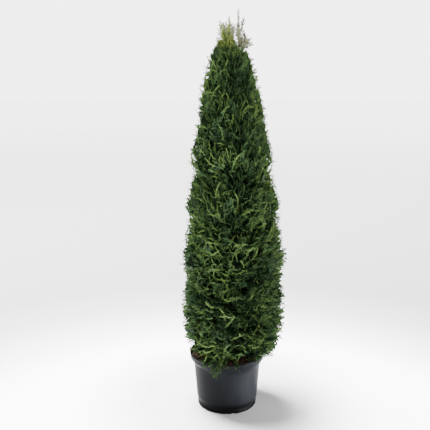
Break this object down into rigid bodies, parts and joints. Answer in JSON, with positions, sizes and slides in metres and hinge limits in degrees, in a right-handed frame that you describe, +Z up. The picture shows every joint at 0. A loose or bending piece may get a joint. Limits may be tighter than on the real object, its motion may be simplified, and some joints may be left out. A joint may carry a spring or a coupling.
{
  "type": "potted arborvitae",
  "caption": "Potted emerald green arborvitae: a narrow evergreen cone of flat scale-leaf sprays in a round dark grey plastic nursery pot",
  "frame": {"origin": "centre of the pot's flat underside", "axes": "+Z up along the plant, -Y towards the picture's viewer, +X to the viewer's right"},
  "size_m": [0.415, 0.4197, 1.6511],
  "materials": {
    "pot_plastic": "satin dark blue-grey plastic",
    "bark_mulch": "rough red-brown bark chips",
    "bark": "rough fibrous grey-brown bark",
    "foliage": "satin green scale leaves with paler tips"
  },
  "bodies": {
    "root": {"bough_drape_front": "bark", "bough_drape_right": "bark", "bough_high_1": "bark", "bough_high_2": "bark", "bough_high_3": "bark", "bough_low_1": "bark", "bough_low_2": "bark", "bough_low_3": "bark", "bough_low_4": "bark", "bough_low_5": "bark", "bough_middle_1": "bark", "bough_middle_2": "bark", "bough_middle_3": "bark", "bough_middle_4": "bark", "bough_shoulder_1": "bark", "bough_shoulder_2": "bark", "bough_shoulder_3": "bark", "bough_skirt_1": "bark", "bough_skirt_2": "bark", "bough_skirt_3": "bark", "bough_skirt_4": "bark", "bough_skirt_5": "bark", "bough_tuft": "bark", "bough_waist_1": "bark", "bough_waist_2": "bark", "bough_waist_3": "bark", "bough_waist_4": "bark", "foliage_drape_front": "foliage", "foliage_drape_right": "foliage", "foliage_high_1": "foliage", "foliage_high_2": "foliage", "foliage_high_3": "foliage", "foliage_low_1": "foliage", "foliage_low_2": "foliage", "foliage_low_3": "foliage", "foliage_low_4": "foliage", "foliage_low_5": "foliage", "foliage_middle_1": "foliage", "foliage_middle_2": "foliage", "foliage_middle_3": "foliage", "foliage_middle_4": "foliage", "foliage_shoots": "foliage", "foliage_shoulder_1": "foliage", "foliage_shoulder_2": "foliage", "foliage_shoulder_3": "foliage", "foliage_skirt_1": "foliage", "foliage_skirt_2": "foliage", "foliage_skirt_3": "foliage", "foliage_skirt_4": "foliage", "foliage_skirt_5": "foliage", "foliage_tuft": "foliage", "foliage_waist_1": "foliage", "foliage_waist_2": "foliage", "foliage_waist_3": "foliage", "foliage_waist_4": "foliage", "pot": "pot_plastic", "soil": "bark_mulch", "trunk": "bark"}
  },
  "joints": []
}
